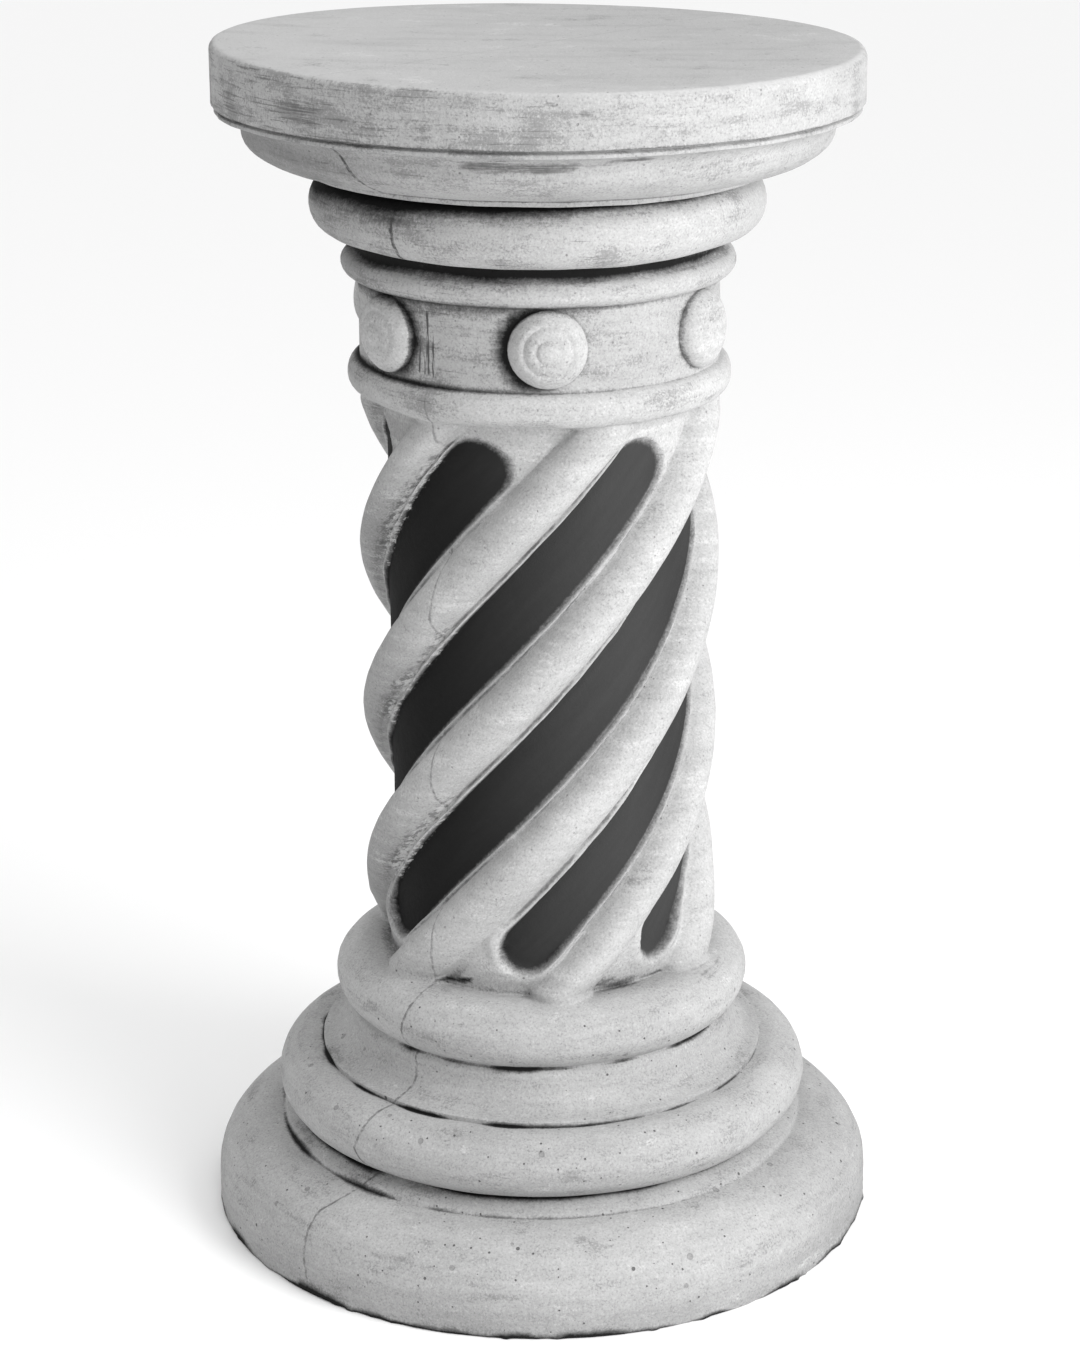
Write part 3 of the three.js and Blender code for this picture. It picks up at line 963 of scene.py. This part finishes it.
def add_masks(mesh):
    """Puts what the material has to know of every point on the mesh."""
    points = mesh_points(mesh)
    groove, wash_and_shade = groove_wash_and_shade(points)
    across, along = panel_grid(points)
    # Rosette wash with its painted shade, and painted shade at the rib feet and beside the lips
    grime_and_shade = [rosette_grime_and_shade(points), rib_foot_shade(points), lip_shade(points)]
    masks = dict(
        paint=panel_paint(points),
        edge=panel_edge(points),
        lip=lip_presence(points),
        across=across,
        along=along,
        panel_shade_share=painted_panel_shade(points),
        crust=crust(points),
        groove=groove,
        wash_and_shade=wash_and_shade,
        grime_and_shade=np.max(grime_and_shade, axis=0),
        seam=seam_distance(points),
        seam_show=np.interp(points[:, 2], SEAM_SHOW_HEIGHTS, SEAM_SHOW_AMOUNTS),
        smudge_and_shade=smudges_and_shade(points),
        scratch=scratches(points),
        wear=brush_wear(points),
        pitted=1 - smooth_step(points[:, 2], 165, 185),
        top=top_face(points),
        tone=stone_tone_and_shade(points),
    )
    for name, values in masks.items():
        layer = mesh.attributes.new(name, "FLOAT", "POINT")
        layer.data.foreach_set("value", values.astype(np.float32))


# The stone's material, which every node below belongs to
STONE = bpy.data.materials.new("cast_stone")
STONE.use_nodes = True


def add_node(kind, inputs, **settings):
    """A node of the stone's material with its settings, and with values or links on its inputs."""
    made = STONE.node_tree.nodes.new(kind)
    for name, value in settings.items():
        setattr(made, name, value)
    for key, value in inputs.items():
        if isinstance(value, bpy.types.NodeSocket):
            STONE.node_tree.links.new(value, made.inputs[key])
        else:
            made.inputs[key].default_value = value
    return made


def calc(operation, first, second=0.0):
    return add_node("ShaderNodeMath", {0: first, 1: second}, operation=operation).outputs[0]


def product(first, second):
    return calc("MULTIPLY", first, second)


def gap(value, middle):
    """How far a value is from a middle one, either way."""
    return calc("ABSOLUTE", calc("SUBTRACT", value, middle))


def remap(value, low, high, new_low=0.0, new_high=1.0):
    limits = {"Value": value, "From Min": low, "From Max": high, "To Min": new_low, "To Max": new_high}
    return add_node("ShaderNodeMapRange", limits, interpolation_type="SMOOTHSTEP").outputs[0]


def noise_texture(place, size, detail, roughness=0.6):
    """Noise from 0 to 1 with features of about the given size in millimetres."""
    inputs = {"Vector": place, "Scale": 1 / (size * MM), "Detail": detail, "Roughness": roughness}
    return add_node("ShaderNodeTexNoise", inputs).outputs["Fac"]


def stretched(place, scale):
    return add_node("ShaderNodeMapping", {"Vector": place, "Scale": scale}).outputs["Vector"]


def mask(name):
    return add_node("ShaderNodeAttribute", {}, attribute_name=name).outputs["Fac"]


def total(*terms):
    """Sum of value times weight over all terms."""
    result = 0.0
    for value, weight in terms:
        inputs = {0: value, 1: weight, 2: result}
        result = add_node("ShaderNodeMath", inputs, operation="MULTIPLY_ADD").outputs[0]
    return result


def bare_stone():
    """1 away from the painted panels and the top face."""
    covered = total((mask("paint"), 1), (mask("top"), 1))
    return remap(covered, 0.5, 0)


def blend(share, first, second):
    """Colour mix of first and second by share."""
    inputs = {"Factor": share, 6: first, 7: second}
    return add_node("ShaderNodeMix", inputs, data_type="RGBA").outputs[2]


def grey(name):
    level = TONES[name]
    return (level, level, level, 1)


def over(tone, name, value, low, high, amount=1.0):
    """Lays a grey over a tone: none of it where the value is low, the full amount where it is high."""
    return blend(remap(value, low, high, 0, amount), tone, grey(name))


def panel_place(lengthwise):
    """Place on the nearest panel, drawn out along the panel."""
    along = product(mask("along"), lengthwise)
    return add_node("ShaderNodeCombineXYZ", {"X": mask("across"), "Y": along}).outputs[0]


def stone_noises():
    """The noises the stone is made of, all from 0 to 1."""
    place = add_node("ShaderNodeTexCoord", {}).outputs["Object"]
    strokes = stretched(place, (1, 1, 7))
    lines = stretched(place, (1, 1, 32))
    upright = stretched(place, (1, 1, 0.08))
    return dict(
        place=place,
        broad=noise_texture(place, 85, 3),
        mottle=noise_texture(place, 24, 8, 0.7),
        sand=noise_texture(place, 4, 5, 0.65),
        grain=noise_texture(place, 1.3, 2, 0.7),
        strokes=noise_texture(strokes, 48, 9, 0.7),
        lines=noise_texture(lines, 36, 6, 0.62),
        upright=noise_texture(upright, 2.2, 3, 0.6),
        top_strokes=noise_texture(stretched(place, (1, 4, 1)), 60, 6, 0.6),
        crumb=noise_texture(panel_place(0.3), 1.6, 4, 0.75),
        panel_strokes=noise_texture(panel_place(0.12), 7, 5, 0.65),
    )


def pale_coat(noises):
    """Sandy pale grey, a little uneven, dimmed towards near black where the tone mask, which holds the
    painted shade, is low.
    """
    tone = over(grey("coat_dull"), "coat_bright", noises["broad"], 0.3, 0.7)
    tone = over(tone, "coat_stroke", noises["strokes"], 0.4, 0.62, 0.3)
    tone = over(tone, "coat_sand", noises["sand"], 0.42, 0.72, 0.24)
    tone = over(tone, "dark_grain", noises["grain"], 0.5, 0.72, 0.5)
    tone = over(tone, "pale_grain", noises["grain"], 0.46, 0.28, 0.4)
    top = over(grey("top_face"), "top_stroke", noises["top_strokes"], 0.48, 0.7, 0.35)
    tone = blend(product(mask("top"), 0.7), tone, top)
    return blend(calc("SUBTRACT", 1.0, mask("tone")), tone, grey("dim_and_shade"))


def brushed_off(noises, tone):
    """Grey patches with speckled edges and thin level strokes, where the pale coat is worn."""
    wear = mask("wear")
    patch = total((noises["mottle"], 0.5), (noises["strokes"], 0.5), (noises["grain"], 0.25), (wear, 0.12))
    tone = over(tone, "rubbed_pale", patch, 0.57, 0.47, 0.4)
    tone = over(tone, "worn_patch", patch, 0.68, 0.8, 0.58)
    stroke = total((noises["lines"], 0.9), (patch, 0.3), (wear, 0.16))
    return over(tone, "worn_line", stroke, 0.83, 0.93, 0.6)


def dark_wash_and_shade(noises, tone):
    """Smoky grey that turns black in the depth of the grooves: patina with painted shade in it."""
    fade = calc("POWER", mask("groove"), 1.25)
    fade = calc("EXPONENT", product(fade, -1.0))
    grime_and_shade = calc("MAXIMUM", product(fade, mask("wash_and_shade")), mask("grime_and_shade"))
    uneven = total((noises["strokes"], 0.62), (noises["sand"], 0.38), (noises["grain"], 0.3))
    uneven = calc("SUBTRACT", uneven, 0.65)
    settled = total((uneven, 1.2), (grime_and_shade, 1))
    tone = over(tone, "thin_wash_and_shade", settled, 0.22, 0.75, 0.9)
    return over(tone, "deep_wash_and_shade", settled, 0.6, 1.05)


def marks_and_shade(noises, tone):
    """Smudges, some of them painted shade, and upright scratches."""
    streaky = [(noises["strokes"], 1.6), (noises["lines"], 1.2), (noises["sand"], 0.6)]
    smudge_and_shade = total((mask("smudge_and_shade"), 1.25), *streaky)
    tone = over(tone, "smudge_and_shade", smudge_and_shade, 2.25, 3.0, 0.95)
    scratch = total((noises["upright"], 1), (mask("scratch"), 0.3))
    return over(tone, "scratch", scratch, 0.82, 0.9, 0.85)


def mortar_crumbs(noises, tone):
    """Light and dark crumbs along the upper lips on the left."""
    crust_here = mask("crust")
    present = remap(crust_here, 0.06, 0.3)
    outer = remap(mask("edge"), 16.5, 21.5, -0.06, 0.06)
    dark_crumbs = total((noises["crumb"], 1), (outer, 1), (crust_here, 0.26))
    dark_crumbs = product(remap(dark_crumbs, 0.68, 0.82, 0, 0.5), present)
    tone = blend(dark_crumbs, tone, grey("dark_crumb"))
    pale_crumbs = total((noises["crumb"], -1), (outer, -1), (crust_here, 0.3))
    pale_crumbs = product(remap(pale_crumbs, -0.33, -0.2, 0, 0.95), present)
    return blend(pale_crumbs, tone, grey("pale_crumb"))


def panel_colour(noises, tone):
    """Charcoal paint on the panel floors, darkened by painted shade where the panel shade mask is high,
    with a pale lip, partly rubbed stone and partly a painted highlight, and a dark line round it.
    """
    wander = total((mask("edge"), 1), (noises["sand"], 1.6), (noises["mottle"], 2.4))
    groove = remap(gap(wander, LIP_GROOVE + 2), 1.2, 0.2)
    groove = product(groove, remap(noises["mottle"], 0.38, 0.6))
    groove = product(groove, remap(mask("lip"), 0.2, 0.6))
    tone = blend(product(groove, 0.7), tone, grey("lip_groove"))
    painted = total((mask("paint"), 1), (noises["sand"], 0.45), (noises["grain"], 0.25))
    painted = remap(painted, 0.35, 1.35)
    # The paint comes as a lit copy and a copy in painted shade, mixed by the panel shade mask.
    streaks = (noises["panel_strokes"], 0.35, 0.68)
    lit_paint = over(grey("lit_panel"), "lit_panel_streak", *streaks)
    shaded_paint = over(grey("shaded_panel"), "shaded_panel_streak", *streaks)
    tone = blend(painted, tone, blend(mask("panel_shade_share"), lit_paint, shaded_paint))
    # The pale line on the lip is partly rubbed stone and partly a painted highlight.
    lip = remap(gap(wander, LIP_MIDDLE + 2), 1.1, 0.3)
    lip = product(lip, mask("lip"))
    lip = product(lip, remap(noises["sand"], 0.36, 0.6, 0.15, 0.8))
    return blend(lip, tone, grey("lip"))


def seam_mark(noises):
    """1 on the thin broken line left by the mould, but not on the panels or the top face."""
    wander = total((mask("seam"), 1), (noises["mottle"], 5), (noises["sand"], 1.2))
    widening = calc("POWER", mask("seam_show"), 2.0)
    away = total((widening, -0.5), (gap(wander, 3.1), 1))
    line = product(remap(away, 0.9, 0.15), mask("seam_show"))
    line = product(line, remap(noises["sand"], 0.35, 0.6, 0.25, 1))
    return product(line, bare_stone())


def pits_of_size(noises, spacing, largest, share):
    """1 in round holes, one in some of the cells of the given spacing; sizes in millimetres."""
    inputs = {"Vector": noises["place"], "Scale": 1 / (spacing * MM)}
    cells = add_node("ShaderNodeTexVoronoi", inputs)
    pick = add_node("ShaderNodeSeparateColor", {"Color": cells.outputs["Color"]})
    size = remap(pick.outputs[0], 1 - share, 1, 0, largest / spacing)
    inside = calc("SUBTRACT", size, cells.outputs["Distance"])
    return remap(inside, -0.15 / spacing, 0.25 / spacing)


def pit_mark(noises):
    """1 in the small holes left by air bubbles."""
    small = pits_of_size(noises, 5, 0.7, 0.6)
    large = pits_of_size(noises, 13, 1.2, 0.4)
    shallow = product(pits_of_size(noises, 17, 2.1, 0.55), 0.45)
    large = calc("MAXIMUM", large, shallow)
    pits = calc("MAXIMUM", small, product(large, mask("pitted")))
    pits = product(pits, remap(mask("pitted"), 0, 1, 0.45, 1))
    return product(pits, bare_stone())


def stone_relief(noises, seam, pits):
    """Grain, mottle, pits and seam as fine relief, heights in millimetres."""
    height = total(
        (noises["mottle"], 1.1),
        (noises["sand"], 0.55),
        (noises["grain"], 0.16),
        (pits, -0.9),
        (seam, -0.45),
        (product(noises["crumb"], mask("crust")), -2.5),
    )
    return add_node("ShaderNodeBump", {"Height": height, "Strength": 0.8, "Distance": MM})


def stone_material():
    """Pale cast stone, brushed thin in streaks, with dark wash and painted shade in the hollows and dark
    panels.
    """
    noises = stone_noises()
    seam = seam_mark(noises)
    pits = pit_mark(noises)

    tone = pale_coat(noises)
    for layer in (brushed_off, marks_and_shade, panel_colour, mortar_crumbs):
        tone = layer(noises, tone)
    tone = blend(product(seam, 0.9), tone, grey("seam"))
    tone = blend(product(pits, 0.8), tone, grey("pit"))
    tone = dark_wash_and_shade(noises, tone)

    shader = STONE.node_tree.nodes["Principled BSDF"]
    relief = stone_relief(noises, seam, pits).outputs["Normal"]
    STONE.node_tree.links.new(tone, shader.inputs["Base Color"])
    STONE.node_tree.links.new(relief, shader.inputs["Normal"])
    shader.inputs["Roughness"].default_value = 0.85
    shader.inputs["Specular IOR Level"].default_value = 0.12


def floor():
    """A wide pale floor that fills the view."""
    corners = np.array([(-1, -1, 0), (1, -1, 0), (1, 1, 0), (-1, 1, 0)], float)
    ground = mesh_object("floor", FLOOR_HALF_WIDTH * corners, [(0, 1, 2, 3)])
    material = bpy.data.materials.new("floor")
    material.use_nodes = True
    shader = material.node_tree.nodes["Principled BSDF"]
    shader.inputs["Base Color"].default_value = grey("floor")
    shader.inputs["Roughness"].default_value = 0.9
    ground.data.materials.append(material)


def key_light():
    """A soft box at the right front, above the capital, which leaves the base a little darker."""
    box = bpy.data.lights.new("soft_box", "AREA")
    box.shape = "SQUARE"
    box.size = KEY_SIZE
    box.energy = KEY_ENERGY
    holder = placed("soft_box", box)
    holder.location = KEY_PLACE
    holder.rotation_euler = (KEY_AIM - KEY_PLACE).to_track_quat("-Z", "Y").to_euler()


def overall_light():
    """Even light from all round, a little brighter from above."""
    sun = bpy.data.lights.new("sky_light", "SUN")
    sun.energy = SKY_ENERGY
    sun.angle = math.radians(SKY_SPREAD)
    placed("sky_light", sun)
    world = bpy.data.worlds.new("studio")
    world.use_nodes = True
    sky = world.node_tree.nodes["Background"]
    sky.inputs["Color"].default_value = (1, 1, 1, 1)
    sky.inputs["Strength"].default_value = WORLD_STRENGTH
    bpy.context.scene.world = world
    bpy.context.scene.view_settings.view_transform = "Standard"


def camera():
    """Standing a little way off, looking down at the column."""
    lens = bpy.data.cameras.new("camera")
    lens.sensor_width = SENSOR_WIDTH
    lens.lens = LENS
    holder = placed("camera", lens)
    holder.location = CAMERA_PLACE
    holder.rotation_mode = "ZXY"
    holder.rotation_euler = (math.radians(90 - CAMERA_DOWN), 0, math.radians(CAMERA_ROLL))
    bpy.context.scene.camera = holder


def column():
    """The casting with its rosettes, weathered and finished."""
    body = casting()
    piece = joined(body, [rosette(number) for number in range(len(ROSETTE_AZIMUTHS))])
    add_masks(piece.data)
    hand_cast(piece.data)
    piece.data.materials.clear()
    stone_material()
    piece.data.materials.append(STONE)
    piece.data.shade_smooth()
    piece.data.set_sharp_from_angle(angle=math.radians(38))
    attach(piece, "root")
    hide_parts("column")


camera()
floor()
key_light()
overall_light()
column()
